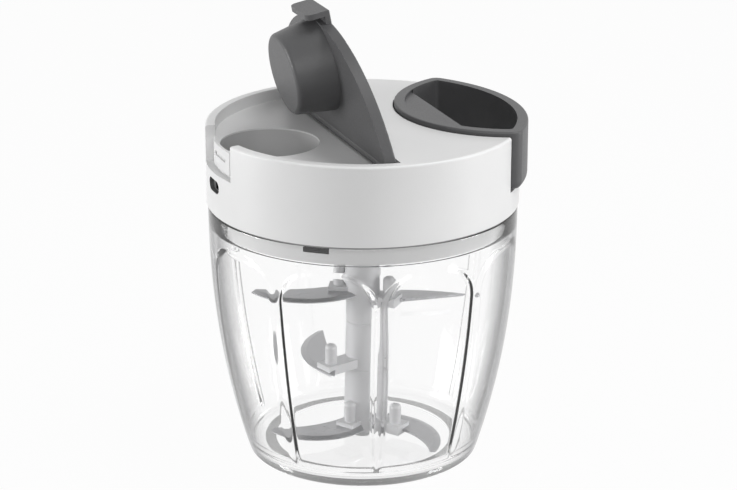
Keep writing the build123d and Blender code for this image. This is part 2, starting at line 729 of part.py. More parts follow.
with BuildPart() as cord_reel:
    with BuildSketch(Plane.XY.offset(arbor_low)):
        Circle(arbor_radius)
    extrude(amount=reel_low - arbor_low)
    with BuildSketch(Plane.XY.offset(reel_low)):
        Circle(reel_flange_radius)
    extrude(amount=reel_flange)
    with BuildSketch(Plane.XY.offset(winding_low)):
        Circle(drum_radius)
    extrude(amount=winding_height)
    with BuildSketch(Plane.XY.offset(winding_high)):
        Circle(reel_flange_radius)
    extrude(amount=reel_flange)
    with BuildSketch(Plane.XY.offset(reel_high)):
        with PolarLocations(pawl_radius, 2):
            Circle(pawl_post_radius)
    extrude(amount=ratchet_height)
    with BuildSketch(Plane.XY.offset(arbor_low)):
        Circle(spindle_tail_radius + running_gap)
    extrude(amount=reel_high - arbor_low, mode=Mode.SUBTRACT)
cord_reel.part.label = "cord_reel"
export_step(cord_reel.part, "parts/cord_reel.step")

with BuildPart() as wound_cord:
    with BuildSketch(Plane.XY.offset(winding_low)):
        Circle(winding_radius)
        Circle(drum_radius, mode=Mode.SUBTRACT)
    extrude(amount=winding_height)
wound_cord.part.label = "wound_cord"
export_step(wound_cord.part, "parts/wound_cord.step")

with BuildPart() as clutch_pawls:
    pawl_inner = ratchet_radius + free_gap
    with BuildSketch(Plane.XY.offset(reel_high)) as pawl_outline:
        for side in (0, 180):
            pawl_outer = pawl_inner + 2 * pawl_post_radius
            add(ring_sector(pawl_inner, pawl_outer, side + pawl_lead, pawl_half_angle))
        with PolarLocations(pawl_radius, 2):
            Circle(2 * pawl_post_radius)
        with PolarLocations(pawl_radius, 2):
            Circle(pawl_post_radius + running_gap, mode=Mode.SUBTRACT)
    extrude(amount=ratchet_height)
clutch_pawls.part.label = "clutch_pawls"
export_step(clutch_pawls.part, "parts/clutch_pawls.step")

with BuildPart() as ratchet_wheel:
    with BuildSketch(Plane.XY.offset(ratchet_low)):
        with BuildLine():
            corners = []
            for number in range(ratchet_teeth):
                angle = math.radians(number * 360 / ratchet_teeth)
                root = ratchet_radius - ratchet_tooth
                corners.append((ratchet_radius * math.cos(angle), ratchet_radius * math.sin(angle)))
                corners.append((root * math.cos(angle), root * math.sin(angle)))
            Polyline(*corners, close=True)
        make_face()
        Circle(spindle_tail_radius, mode=Mode.SUBTRACT)
    extrude(amount=ratchet_height)
ratchet_wheel.part.label = "ratchet_wheel"
export_step(ratchet_wheel.part, "parts/ratchet_wheel.step")

with BuildPart() as drive_spindle:
    with BuildSketch(Plane.XY.offset(spindle_shoulder - hexagon_depth)):
        RegularPolygon(hexagon_across / 2, 6, major_radius=False)
    extrude(amount=hexagon_depth)
    with BuildSketch(Plane.XY.offset(spindle_shoulder)):
        Circle(spindle_radius)
    extrude(amount=spindle_step - spindle_shoulder)
    with BuildSketch(Plane.XY.offset(spindle_step)):
        Circle(spindle_tail_radius)
    extrude(amount=spindle_top - spindle_step)
    with BuildSketch(Plane.XY.offset(clip_low)):
        Circle(spindle_tail_radius + overshoot)
        Circle(clip_groove_radius, mode=Mode.SUBTRACT)
    extrude(amount=clip_height, mode=Mode.SUBTRACT)
drive_spindle.part.label = "drive_spindle"
export_step(drive_spindle.part, "parts/drive_spindle.step")

with BuildPart() as spindle_clip:
    with BuildSketch(Plane.XY.offset(clip_low)):
        Circle(clip_radius)
        Circle(clip_groove_radius, mode=Mode.SUBTRACT)
        with Locations((clip_radius / 2 + clip_groove_radius / 2, 0)):
            Rectangle(clip_radius, clip_mouth, mode=Mode.SUBTRACT)
    extrude(amount=clip_height)
spindle_clip.part.label = "spindle_clip"
export_step(spindle_clip.part, "parts/spindle_clip.step")

with BuildPart() as cord_guide:
    with BuildSketch(Plane.YZ.offset(guide_low - guide_flange)):
        with Locations((0, cord_level)):
            Circle(guide_flange_radius)
    extrude(amount=guide_flange)
    with BuildSketch(Plane.YZ.offset(guide_low)):
        with Locations((0, cord_level)):
            Circle(guide_radius)
    extrude(amount=pocket_wall - guide_sink)
    with BuildSketch(Plane.YZ.offset(guide_low - guide_flange)):
        with Locations((0, cord_level)):
            Circle(guide_bore)
    extrude(amount=guide_flange + pocket_wall, mode=Mode.SUBTRACT)
cord_guide.part.label = "cord_guide"
export_step(cord_guide.part, "parts/cord_guide.step")

with BuildPart() as cord_lead:
    # The cord leaves the winding on a tangent, turns on the eyelet's lip and runs out along +X.
    tangent_radius = winding_radius - cord_radius
    corner = Vector(cord_corner, 0, cord_level)
    turn = math.acos(tangent_radius / cord_corner)
    touch = Vector(tangent_radius * math.cos(turn), -tangent_radius * math.sin(turn), cord_level)
    towards = (corner - touch).normalized()
    leave = touch + towards * math.sqrt(reel_flange_radius**2 - tangent_radius**2)
    mouth = Vector(handle_innermost - handle_gap / 2, 0, cord_level)
    with BuildLine() as cord_path:
        FilletPolyline(leave, corner, mouth, radius=cord_turn_radius)
    with BuildSketch(Plane(origin=leave, z_dir=towards)):
        Circle(cord_radius)
    sweep(path=cord_path.line)
cord_lead.part.label = "cord_lead"
export_step(cord_lead.part, "parts/cord_lead.step")

# Fill flap, drawn on a plane that turns with it: x runs out along the plate, z out of its top face.

open_angle = math.radians(flap_open_angle)
hinge_point = (-hinge_distance, 0, hinge_height)
flap_out = Vector(-math.cos(open_angle), 0, math.sin(open_angle))
flap_up = Vector(math.sin(open_angle), 0, math.cos(open_angle))
flap_plane = Plane(origin=hinge_point, x_dir=flap_out, z_dir=flap_up)
barrel_plane = Plane(origin=hinge_point, x_dir=flap_out, z_dir=(0, 1, 0))

tab_end = lid_radius - hinge_distance
tab_plane = Plane(
    origin=Vector(*hinge_point) + flap_out * (tab_end - tab_thickness),
    x_dir=(0, -1, 0),
    z_dir=flap_out,
)

with BuildPart() as flap:
    with BuildSketch(flap_plane.offset(flap_low)):
        with Locations((-hinge_distance, 0)):
            Circle(recess_radius - flap_edge_gap)
        with Locations((lid_radius - flap_root, 0)):
            Rectangle(2 * lid_radius, 2 * lid_radius, mode=Mode.INTERSECT)
    extrude(amount=flap_thickness)
    with BuildSketch(flap_plane.offset(flap_high - tab_thickness)):
        with Locations(((tab_root + tab_end) / 2, 0)):
            Rectangle(tab_end - tab_root, tab_width)
    extrude(amount=tab_thickness)
    with BuildSketch(tab_plane) as tab_outline:
        with Locations((0, flap_high - tab_drop / 2)):
            Rectangle(tab_width, tab_drop)
        fillet(tab_outline.vertices().sort_by(Axis.Y)[:2], radius=tab_corner)
    extrude(amount=tab_thickness)
    top_edges = flap.faces().sort_by(Axis(hinge_point, flap_up))[-1].edges()
    fillet(top_edges.sort_by(Axis(hinge_point, flap_out))[1:], radius=flap_edge_fillet)
    with BuildSketch(barrel_plane.offset(-tab_width / 4)):
        with Locations((tab_end - tab_thickness + catch_ridge / 2, catch_slot_level - hinge_height)):
            Circle(catch_ridge)
    extrude(amount=tab_width / 2)
    with BuildSketch(barrel_plane.offset(-barrel_length / 2)):
        Circle(barrel_radius)
    extrude(amount=barrel_length)
    with BuildSketch(barrel_plane.offset(-lid_radius)):
        Circle(hinge_pin_radius + running_gap)
    extrude(amount=2 * lid_radius, mode=Mode.SUBTRACT)
flap.part.label = "flap"
export_step(flap.part, "parts/flap.step")

with BuildPart() as flap_plug:
    plug_centre = chute_centre - hinge_distance
    plug_low = flap_low - plug_length
    with BuildSketch(barrel_plane):
        with BuildLine():
            Polyline(
                (plug_centre, plug_low),
                (plug_centre + plug_end_radius, plug_low),
                (plug_centre + plug_root_radius, flap_low),
                (plug_centre + plug_root_radius - plug_wall, flap_low),
                (plug_centre + plug_end_radius - plug_wall, plug_low + plug_wall),
                (plug_centre, plug_low + plug_wall),
                close=True,
            )
        make_face()
    plug_base = Vector(*hinge_point) + flap_out * plug_centre
    revolve(axis=Axis(plug_base, flap_up))
    rims = flap_plug.edges().filter_by(GeomType.CIRCLE).sort_by(Axis(plug_base, flap_up))
    fillet(rims[1], radius=plug_fillet - plug_wall)
    rims = flap_plug.edges().filter_by(GeomType.CIRCLE).sort_by(Axis(plug_base, flap_up))
    fillet(rims[0], radius=plug_fillet)
flap_plug.part.label = "flap_plug"
export_step(flap_plug.part, "parts/flap_plug.step")

with BuildPart() as flap_pin:
    with BuildSketch(Plane.XZ):
        with Locations((-hinge_distance, hinge_height)):
            Circle(hinge_pin_radius)
    extrude(amount=flap_chord / 2 + recess_rim / 2, both=True)
flap_pin.part.label = "flap_pin"
export_step(flap_pin.part, "parts/flap_pin.step")

# Pull handle

with BuildPart() as handle:
    with BuildSketch(Plane.XY.offset(handle_low)):
        add(lens(0))
    extrude(amount=handle_high - handle_low)
    fillet(handle.edges().filter_by(Axis.Z), radius=handle_corner)
    fillet(handle.faces().sort_by(Axis.Z)[0].edges(), radius=handle_low_fillet)
    fillet(handle.faces().sort_by(Axis.Z)[-1].edges(), radius=handle_top_fillet)
    with BuildSketch(Plane.XY.offset(handle_low)) as opening:
        add(lens(-handle_rim, handle_web_edge))
        fillet(opening.vertices(), radius=opening_corner)
    extrude(amount=handle_high - handle_low, mode=Mode.SUBTRACT)
    with BuildSketch(Plane.XY.offset(handle_high - handle_web_depth)):
        add(lens(-handle_rim, 0, handle_web_edge))
    extrude(amount=handle_web_depth, mode=Mode.SUBTRACT)
    with BuildSketch(Plane.XY.offset(handle_low)):
        add(lens(-handle_wall, 0, handle_web_edge - handle_web_thickness))
    extrude(
        amount=handle_high - handle_web_depth - handle_web_thickness - handle_low,
        mode=Mode.SUBTRACT,
    )
    with BuildSketch(Plane.YZ.offset(handle_innermost - overshoot)):
        with Locations((0, cord_level)):
            Circle(cord_radius + free_gap)
    extrude(amount=handle_wall + 2 * overshoot, mode=Mode.SUBTRACT)
handle.part.label = "handle"
export_step(handle.part, "parts/handle.step")

ferrule_place = handle_innermost + handle_wall + ferrule_gap

with BuildPart() as cord_tail:
    with BuildSketch(Plane.YZ.offset(handle_innermost)):
        with Locations((0, cord_level)):
            Circle(cord_radius)
    extrude(amount=handle_wall + ferrule_length + cord_end)
cord_tail.part.label = "cord_tail"
export_step(cord_tail.part, "parts/cord_tail.step")

with BuildPart() as cord_ferrule:
    with BuildSketch(Plane.YZ.offset(ferrule_place)):
        with Locations((0, cord_level)):
            Circle(ferrule_radius)
            Circle(cord_radius, mode=Mode.SUBTRACT)
    extrude(amount=ferrule_length)
cord_ferrule.part.label = "cord_ferrule"
export_step(cord_ferrule.part, "parts/cord_ferrule.step")

# Blades

blade_parts = {}
for name, blade in blades.items():
    with BuildPart() as blade_part:
        with BuildSketch(blade_turn(blade["angle"]).offset(blade["level"] - blade_thickness / 2)):
            reach = bowl_radius(blade["level"]) - bowl_wall - rib_height - blade["gap"]
            half = reach / 2
            heel = (reach - tip_width, -tip_width)
            with BuildLine():
                ThreePointArc(blade["root_edge"], (half, blade["edge"]), (reach, 0))
                Line((reach, 0), heel)
                ThreePointArc(heel, (half, blade["back"]), blade["root_back"])
                Line(blade["root_back"], blade["root_edge"])
            make_face()
        extrude(amount=blade_thickness)
        arcs = blade_part.edges().filter_by(GeomType.CIRCLE).group_by(Axis.Z)[-1]
        edge_point = Vector(half, blade["edge"], blade["level"])
        edge_middle = blade_turn(blade["angle"]).from_local_coords(edge_point)
        chamfer(arcs.sort_by_distance(edge_middle)[0], length=blade_bevel, length2=blade_bevel_depth,
                reference=blade_part.faces().sort_by(Axis.Z)[-1])
    blade_part.part.label = name
    export_step(blade_part.part, f"parts/{name}.step")
    blade_parts[name] = blade_part.part

# Hub pieces: outline from the axis, then arms and posts, then bores and the blades' seats.

hub_outlines = {
    "lower": [
        (hub_foot_radius - hub_foot_round, hub_low),
        (hub_foot_radius, hub_low + hub_foot_round),
        (hub_seam_lower_radius, hub_lower_top),
    ],
    "middle": [(hub_seam_lower_radius, hub_lower_top), (hub_seam_upper_radius, hub_middle_top)],
    "upper": [
        (hub_seam_upper_radius, hub_middle_top),
        (hub_seam_upper_radius, hub_collar_low),
        (hub_collar_radius, hub_collar_low),
        (hub_collar_radius, hub_top),
    ],
}

for level_name, outline_points in hub_outlines.items():
    with BuildPart() as hub:
        with BuildSketch(Plane.XZ):
            with BuildLine():
                low, high = outline_points[0][1], outline_points[-1][1]
                Polyline((0, low), *outline_points, (0, high), close=True)
            make_face()
        revolve(axis=Axis.Z)
        seams = hub.edges().filter_by(GeomType.CIRCLE)
        seams = seams.filter_by(lambda seam: seam.radius in (hub_seam_lower_radius, hub_seam_upper_radius))
        seams = seams.filter_by_position(Axis.Z, hub_lower_top - near, hub_middle_top + near)
        chamfer(seams, length=hub_seam_chamfer)
        for name, blade in blades.items():
            if blade["hub"] != level_name:
                continue
            post_reach = math.hypot(*blade["post"])
            post_angle = math.degrees(math.atan2(blade["post"][1], blade["post"][0]))
            arm_low = blade["level"] - blade_thickness / 2 - arm_under
            arm_high = blade["level"] + blade_thickness / 2 + arm_over
            with BuildSketch(blade_turn(post_angle).offset(arm_low)):
                with Locations(((post_reach + arm_width / 2) / 2, 0)):
                    Rectangle(post_reach + arm_width / 2, arm_width)
            extrude(amount=arm_high - arm_low)
            with BuildSketch(Plane.XY.offset(arm_high)):
                with Locations(blade["post"]):
                    Circle(post_pin_radius)
            extrude(amount=post_pin_height)
            tops = hub.edges().filter_by(GeomType.CIRCLE)
            post_top = arm_high + post_pin_height
            tops = tops.filter_by_position(Axis.Z, post_top - near, post_top + near)
            fillet(tops, radius=post_pin_round)
            add(blade_parts[name], mode=Mode.SUBTRACT)
        if level_name == "lower":
            with BuildSketch(Plane.XY.offset(hub_low)):
                Circle(pivot_radius + running_gap)
            extrude(amount=core_low - hub_low, mode=Mode.SUBTRACT)
        with BuildSketch(Plane.XY.offset(core_low)):
            Circle(core_radius)
        extrude(amount=core_top - core_low, mode=Mode.SUBTRACT)
        if level_name == "upper":
            with BuildSketch(Plane.XY.offset(spindle_shoulder - hexagon_depth - free_gap)):
                RegularPolygon(hexagon_across / 2 + free_gap, 6, major_radius=False)
            extrude(amount=hexagon_depth + overshoot, mode=Mode.SUBTRACT)
    hub.part.label = f"hub_{level_name}"
    export_step(hub.part, f"parts/hub_{level_name}.step")

with BuildPart() as core_rod:
    with BuildSketch(Plane.XY.offset(core_low)):
        Circle(core_radius)
    extrude(amount=core_top - core_low)
core_rod.part.label = "core_rod"
export_step(core_rod.part, "parts/core_rod.step")
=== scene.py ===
import math

import bmesh
import bpy
from mathutils import Matrix, Vector


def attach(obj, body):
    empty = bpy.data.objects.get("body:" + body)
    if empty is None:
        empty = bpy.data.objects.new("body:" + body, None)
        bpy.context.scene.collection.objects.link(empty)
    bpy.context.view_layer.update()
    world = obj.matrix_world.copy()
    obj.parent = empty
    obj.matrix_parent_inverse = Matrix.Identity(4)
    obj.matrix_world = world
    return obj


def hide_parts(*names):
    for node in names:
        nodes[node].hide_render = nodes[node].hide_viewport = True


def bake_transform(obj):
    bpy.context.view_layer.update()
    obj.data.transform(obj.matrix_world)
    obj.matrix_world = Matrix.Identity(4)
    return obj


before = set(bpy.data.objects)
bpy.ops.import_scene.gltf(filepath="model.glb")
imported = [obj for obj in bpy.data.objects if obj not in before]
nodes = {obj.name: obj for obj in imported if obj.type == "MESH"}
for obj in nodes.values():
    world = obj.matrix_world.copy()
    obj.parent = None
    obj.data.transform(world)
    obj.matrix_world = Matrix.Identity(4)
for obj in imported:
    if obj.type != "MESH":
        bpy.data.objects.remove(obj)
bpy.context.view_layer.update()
print("frame loaded:", len(nodes), "nodes")


# Camera

view = {
    "place": (-0.3565, -0.9343, 0.4360),
    "tilt": math.radians(70.87),
    "turn": -math.radians(20.9) - 0.0021,
    "lens": 123.19,
    "sensor": 36.0,
    "near": 0.05,
}

lensData = bpy.data.cameras.new("photoCamera")
lensData.lens = view["lens"]
lensData.sensor_width = view["sensor"]
lensData.clip_start = view["near"]
camera = bpy.data.objects.new("photoCamera", lensData)
camera.location = view["place"]
camera.rotation_euler = (view["tilt"], 0, view["turn"])
bpy.context.scene.collection.objects.link(camera)
bpy.context.scene.camera = camera
bpy.context.scene.view_settings.view_transform = "Standard"
cameraHeading = math.atan2(view["place"][1], view["place"][0])
print("camera placed")


# Lights, backdrop and floor

lights = {
    "left": {"heading": -86, "height": 0.16, "away": 0.85, "size": (0.26, 0.36), "power": 4.7},
    "right": {"heading": 80, "height": 0.16, "away": 0.85, "size": (0.26, 0.36), "power": 3.1},
    "top": {"heading": 75, "height": 1.15, "away": 0.50, "size": (0.50, 0.50), "power": 6.6},
    "front": {"heading": 4, "height": 0.75, "away": 1.25, "size": (0.80, 0.80), "power": 6.0},
}
aim = Vector((0, 0, 0.09))

for name, light in lights.items():
    lamp = bpy.data.lights.new(name + "Softbox", "AREA")
    lamp.shape = "RECTANGLE"
    lamp.size, lamp.size_y = light["size"]
    lamp.energy = light["power"]
    softbox = bpy.data.objects.new(name + "Softbox", lamp)
    heading = cameraHeading + math.radians(light["heading"])
    away = light["away"]
    softbox.location = (away * math.cos(heading), away * math.sin(heading), light["height"])
    softbox.rotation_euler = (softbox.location - aim).to_track_quat("Z", "Y").to_euler()
    bpy.context.scene.collection.objects.link(softbox)

backdrop = {"ambient": 0.26, "white": 0.98}

world = bpy.data.worlds.new("studio")
bpy.context.scene.world = world
world.use_nodes = True
links = world.node_tree.links
air = world.node_tree.nodes
air.clear()


def seenPart(treeNodes, treeLinks):  # 1 where the eye, a reflection or a view through glass meets it
    path = treeNodes.new("ShaderNodeLightPath")
    first = treeNodes.new("ShaderNodeMath")
    first.operation = "MAXIMUM"
    second = treeNodes.new("ShaderNodeMath")
    second.operation = "MAXIMUM"
    treeLinks.new(path.outputs["Is Camera Ray"], first.inputs[0])
    treeLinks.new(path.outputs["Is Glossy Ray"], first.inputs[1])
    treeLinks.new(first.outputs[0], second.inputs[0])
    treeLinks.new(path.outputs["Is Transmission Ray"], second.inputs[1])
    return second.outputs[0]


ambient = air.new("ShaderNodeBackground")
ambient.inputs["Color"].default_value = (1, 1, 1, 1)
ambient.inputs["Strength"].default_value = backdrop["ambient"]
white = air.new("ShaderNodeBackground")
white.inputs["Color"].default_value = (1, 1, 1, 1)
white.inputs["Strength"].default_value = backdrop["white"]
seen = air.new("ShaderNodeMixShader")
worldOut = air.new("ShaderNodeOutputWorld")
links.new(seenPart(air, links), seen.inputs[0])
links.new(ambient.outputs[0], seen.inputs[1])
links.new(white.outputs[0], seen.inputs[2])
links.new(seen.outputs[0], worldOut.inputs["Surface"])

floor = {"size": 6.0, "albedo": 0.50, "bright": 0.965}

mesh = bpy.data.meshes.new("floor")
bm = bmesh.new()
bmesh.ops.create_grid(bm, x_segments=1, y_segments=1, size=floor["size"])
bm.to_mesh(mesh)
bm.free()
ground = bpy.data.objects.new("floor", mesh)
bpy.context.scene.collection.objects.link(ground)
paper = bpy.data.materials.new("floorPaper")
paper.use_nodes = True
links = paper.node_tree.links
sheet = paper.node_tree.nodes
sheet.clear()
matte = sheet.new("ShaderNodeBsdfDiffuse")
matte.inputs["Color"].default_value = (floor["albedo"],) * 3 + (1,)
glow = sheet.new("ShaderNodeEmission")
glow.inputs["Strength"].default_value = 1.0
share = sheet.new("ShaderNodeMath")
share.operation = "MULTIPLY"
share.inputs[1].default_value = floor["bright"]
mixed = sheet.new("ShaderNodeMixShader")
sheetOut = sheet.new("ShaderNodeOutputMaterial")
links.new(seenPart(sheet, links), share.inputs[0])
links.new(share.outputs[0], mixed.inputs[0])
links.new(matte.outputs[0], mixed.inputs[1])
links.new(glow.outputs[0], mixed.inputs[2])
links.new(mixed.outputs[0], sheetOut.inputs["Surface"])
mesh.materials.append(paper)
print("studio built")


# Materials

def blankMaterial(name):
    material = bpy.data.materials.new(name)
    material.use_nodes = True
    tree = material.node_tree
    tree.nodes.clear()
    shader = tree.nodes.new("ShaderNodeBsdfPrincipled")
    output = tree.nodes.new("ShaderNodeOutputMaterial")
    tree.links.new(shader.outputs[0], output.inputs["Surface"])
    place = tree.nodes.new("ShaderNodeTexCoord")
    centred = tree.nodes.new("ShaderNodeMapping")
    tree.links.new(place.outputs["Object"], centred.inputs["Vector"])
    return material, tree, shader, centred


def addNoise(tree, centred, scale, detail=2.0, roughness=0.5):
    noise = tree.nodes.new("ShaderNodeTexNoise")
    noise.inputs["Scale"].default_value = scale
    noise.inputs["Detail"].default_value = detail
    noise.inputs["Roughness"].default_value = roughness
    tree.links.new(centred.outputs["Vector"], noise.inputs["Vector"])
    return noise


patternRange = (0.3, 0.7)  # most of a noise pattern lies between these values


def spread(tree, source, low, high):  # a pattern stretched between two values
    band = tree.nodes.new("ShaderNodeMapRange")
    band.inputs["From Min"].default_value = patternRange[0]
    band.inputs["From Max"].default_value = patternRange[1]
    band.inputs["To Min"].default_value = low
    band.inputs["To Max"].default_value = high
    tree.links.new(source, band.inputs["Value"])
    return band.outputs["Result"]


def tones(tree, source, first, second):
    ramp = tree.nodes.new("ShaderNodeValToRGB")
    for element, place, colour in zip(ramp.color_ramp.elements, patternRange, (first, second)):
        element.position = place
        element.color = colour + (1,)
    tree.links.new(source, ramp.inputs["Fac"])
    return ramp.outputs["Color"]


def paint(tree, shader, source, finish):
    colour = tones(tree, source, finish["shade"], finish["tint"])
    tree.links.new(colour, shader.inputs["Base Color"])


def addBump(tree, shader, source, height, strength=1.0):
    bump = tree.nodes.new("ShaderNodeBump")
    bump.inputs["Distance"].default_value = height
    bump.inputs["Strength"].default_value = strength
    tree.links.new(source, bump.inputs["Height"])
    tree.links.new(bump.outputs["Normal"], shader.inputs["Normal"])
    return bump


def mouldedPlastic(name, finish):
    material, tree, shader, centred = blankMaterial(name)
    cloud = addNoise(tree, centred, finish["cloudScale"], 3.0)
    grain = addNoise(tree, centred, finish["grainScale"], 2.0, 0.6)
    paint(tree, shader, cloud.outputs["Fac"], finish)
    tree.links.new(spread(tree, grain.outputs["Fac"], *finish["rough"]), shader.inputs["Roughness"])
    addBump(tree, shader, grain.outputs["Fac"], finish["grain"])
    shader.inputs["IOR"].default_value = finish["ior"]
    shader.inputs["Specular IOR Level"].default_value = finish.get("specular", 0.5)
    return material


def dress(material, *names):
    for name in names:
        mesh = nodes[name].data
        mesh.materials.clear()
        mesh.materials.append(material)


lidFinish = {
    "tint": (0.76, 0.76, 0.76), "shade": (0.72, 0.72, 0.72), "cloudScale": 18.0,
    "grainScale": 1400.0, "grain": 0.00003, "rough": (0.34, 0.44), "ior": 1.5,
}
lidPlastic = mouldedPlastic("lidPlastic", lidFinish)
dress(lidPlastic, "lid_shell")

baseFinish = dict(lidFinish, tint=(0.70, 0.70, 0.70), shade=(0.66, 0.66, 0.66))
basePlastic = mouldedPlastic("lidBasePlastic", baseFinish)
dress(basePlastic, "lid_base")


def compare(tree, operation, value, limit):
    test = tree.nodes.new("ShaderNodeMath")
    test.operation = operation
    tree.links.new(value, test.inputs[0])
    test.inputs[1].default_value = limit
    return test.outputs[0]


def joined(tree, first, second):
    both = tree.nodes.new("ShaderNodeMath")
    both.operation = "MULTIPLY"
    tree.links.new(first, both.inputs[0])
    tree.links.new(second, both.inputs[1])
    return both.outputs[0]


def paintHollowShade(material, hollow):  # paints shade into the base colour: inside each mask a darker grey stands for the shade in the chute, the slots and what lies behind them
    tree = material.node_tree
    shader = next(node for node in tree.nodes if node.type == "BSDF_PRINCIPLED")
    colour = shader.inputs["Base Color"].links[0].from_socket
    place = tree.nodes.new("ShaderNodeTexCoord")
    parts = tree.nodes.new("ShaderNodeSeparateXYZ")
    tree.links.new(place.outputs["Object"], parts.inputs[0])
    share = None
    for centre, operation, limit in hollow["rings"]:
        flat = tree.nodes.new("ShaderNodeCombineXYZ")
        tree.links.new(parts.outputs["X"], flat.inputs["X"])
        tree.links.new(parts.outputs["Y"], flat.inputs["Y"])
        distance = tree.nodes.new("ShaderNodeVectorMath")
        distance.operation = "DISTANCE"
        distance.inputs[1].default_value = (centre, 0, 0)
        tree.links.new(flat.outputs[0], distance.inputs[0])
        inside = compare(tree, operation, distance.outputs["Value"], limit)
        share = inside if share is None else joined(tree, share, inside)
    share = joined(tree, share, compare(tree, "GREATER_THAN", parts.outputs["Z"], hollow["low"]))
    share = joined(tree, share, compare(tree, "LESS_THAN", parts.outputs["Z"], hollow["high"]))
    mixed = tree.nodes.new("ShaderNodeMix")
    mixed.data_type = "RGBA"
    tree.links.new(share, mixed.inputs["Factor"])
    tree.links.new(colour, mixed.inputs["A"])
    mixed.inputs["B"].default_value = hollow["paintedShade"] + (1,)
    tree.links.new(mixed.outputs["Result"], shader.inputs["Base Color"])


# Painted shade: the side slot, the hole in it, the skirt's hollow seen through its windows and the
# chute's wall get darker colours that stand for the shade inside them.
sideSlot = {
    "rings": [(-0.0655, "LESS_THAN", 0.0072), (0.0, "LESS_THAN", 0.0649)],
    "low": 0.1200, "high": 0.1258, "paintedShade": (0.13, 0.13, 0.13),
}
sideHole = {
    "rings": [(-0.0655, "LESS_THAN", 0.0052), (0.0, "LESS_THAN", 0.0629)],
    "low": 0.1200, "high": 0.1258, "paintedShade": (0.015, 0.015, 0.015),
}
skirtHollow = {
    "rings": [(0.0, "LESS_THAN", 0.0616)],
    "low": 0.1062, "high": 0.1200, "paintedShade": (0.008, 0.008, 0.008),
}
chuteWall = {
    "rings": [(-0.0406, "LESS_THAN", 0.0205)],
    "low": 0.1000, "high": 0.1380, "paintedShade": (0.53, 0.53, 0.53),
}
# These calls paint shade into the lid's colour in its chute and hollows; the plastic there is the same
# white.
paintHollowShade(lidPlastic, chuteWall)
paintHollowShade(basePlastic, chuteWall)
paintHollowShade(lidPlastic, sideSlot)
paintHollowShade(lidPlastic, sideHole)
paintHollowShade(basePlastic, skirtHollow)

greyFinish = {
    "tint": (0.086, 0.086, 0.088), "shade": (0.075, 0.075, 0.077), "cloudScale": 25.0,
    "grainScale": 1800.0, "grain": 0.00005, "rough": (0.36, 0.48), "ior": 1.5, "specular": 0.34,
}
dress(mouldedPlastic("darkPlastic", greyFinish), "flap", "flap_plug", "handle")

hubFinish = {
    "tint": (0.66, 0.66, 0.67), "shade": (0.61, 0.61, 0.62), "cloudScale": 40.0,
    "grainScale": 1600.0, "grain": 0.00003, "rough": (0.36, 0.46), "ior": 1.48,
}
hubPlastic = mouldedPlastic("hubPlastic", hubFinish)
dress(hubPlastic, "hub_lower", "hub_middle", "hub_upper")

innerFinish = {
    "tint": (0.60, 0.59, 0.55), "shade": (0.55, 0.54, 0.50), "cloudScale": 45.0,
    "grainScale": 1200.0, "grain": 0.00003, "rough": (0.40, 0.52), "ior": 1.46,
}
innerPlastic = mouldedPlastic("innerPlastic", innerFinish)
dress(innerPlastic, "spring_case", "cord_reel", "clutch_pawls", "ratchet_wheel")

spindleFinish = dict(hubFinish, tint=(0.33, 0.33, 0.34), shade=(0.29, 0.29, 0.30))
dress(mouldedPlastic("spindlePlastic", spindleFinish), "drive_spindle")

sealFinish = {
    "tint": (0.30, 0.30, 0.30), "shade": (0.26, 0.26, 0.26), "cloudScale": 60.0,
    "grainScale": 2200.0, "grain": 0.00004, "rough": (0.62, 0.78), "ior": 1.45,
}
dress(mouldedPlastic("softSeal", sealFinish), "lid_gasket")

ringFinish = dict(sealFinish, tint=(0.38, 0.38, 0.38), shade=(0.34, 0.34, 0.34))
dress(mouldedPlastic("baseRubber", ringFinish), "base_ring")


def groundSteel(name, finish, turn=0.0):
    material, tree, shader, centred = blankMaterial(name)
    centred.inputs["Rotation"].default_value = (0, 0, turn)
    centred.inputs["Scale"].default_value = finish["stretch"]
    lines = addNoise(tree, centred, finish["lineScale"], 3.0, 0.6)
    paint(tree, shader, lines.outputs["Fac"], finish)
    tree.links.new(spread(tree, lines.outputs["Fac"], *finish["rough"]), shader.inputs["Roughness"])
    addBump(tree, shader, lines.outputs["Fac"], finish["groove"])
    shader.inputs["Metallic"].default_value = 1.0
    return material


bladeFinish = {
    "tint": (0.42, 0.42, 0.43), "shade": (0.33, 0.33, 0.34), "stretch": (1.0, 14.0, 1.0),
    "lineScale": 320.0, "rough": (0.26, 0.38), "groove": 0.00002,
}
bladeTurns = {
    "blade_upper_left": 162.2, "blade_upper_right": -16.6, "blade_middle": 100.5,
    "blade_lower_left": 177.5, "blade_lower_right": -70.1,
}
for name, turn in bladeTurns.items():
    dress(groundSteel(name + "Steel", bladeFinish, -math.radians(turn)), name)

fastenerFinish = dict(
    bladeFinish, tint=(0.50, 0.50, 0.52), shade=(0.42, 0.42, 0.44), stretch=(1.0, 1.0, 6.0),
)
fastenerSteel = groundSteel("fastenerSteel", fastenerFinish)
dress(fastenerSteel, "lid_screws", "case_screws", "flap_pin", "core_rod", "pivot_pin")

springFinish = dict(
    bladeFinish, tint=(0.30, 0.31, 0.34), shade=(0.23, 0.24, 0.27), stretch=(1.0, 1.0, 10.0),
)
dress(groundSteel("springSteel", springFinish), "recoil_spring", "spindle_clip")

guideFinish = dict(
    bladeFinish, tint=(0.66, 0.66, 0.68), shade=(0.60, 0.60, 0.62), rough=(0.10, 0.18), groove=0.000005,
)
dress(groundSteel("guideSteel", guideFinish), "cord_guide", "cord_ferrule")

brassFinish = dict(
    bladeFinish, tint=(0.68, 0.47, 0.20), shade=(0.60, 0.40, 0.16), rough=(0.22, 0.34), groove=0.00001,
)
dress(groundSteel("bushBrass", brassFinish), "spindle_bush")


cordFinish = {
    "tint": (0.74, 0.73, 0.68), "shade": (0.52, 0.51, 0.47),
    "strandScale": 900.0, "warp": 1.5, "strand": 0.0002, "rough": 0.8,
}


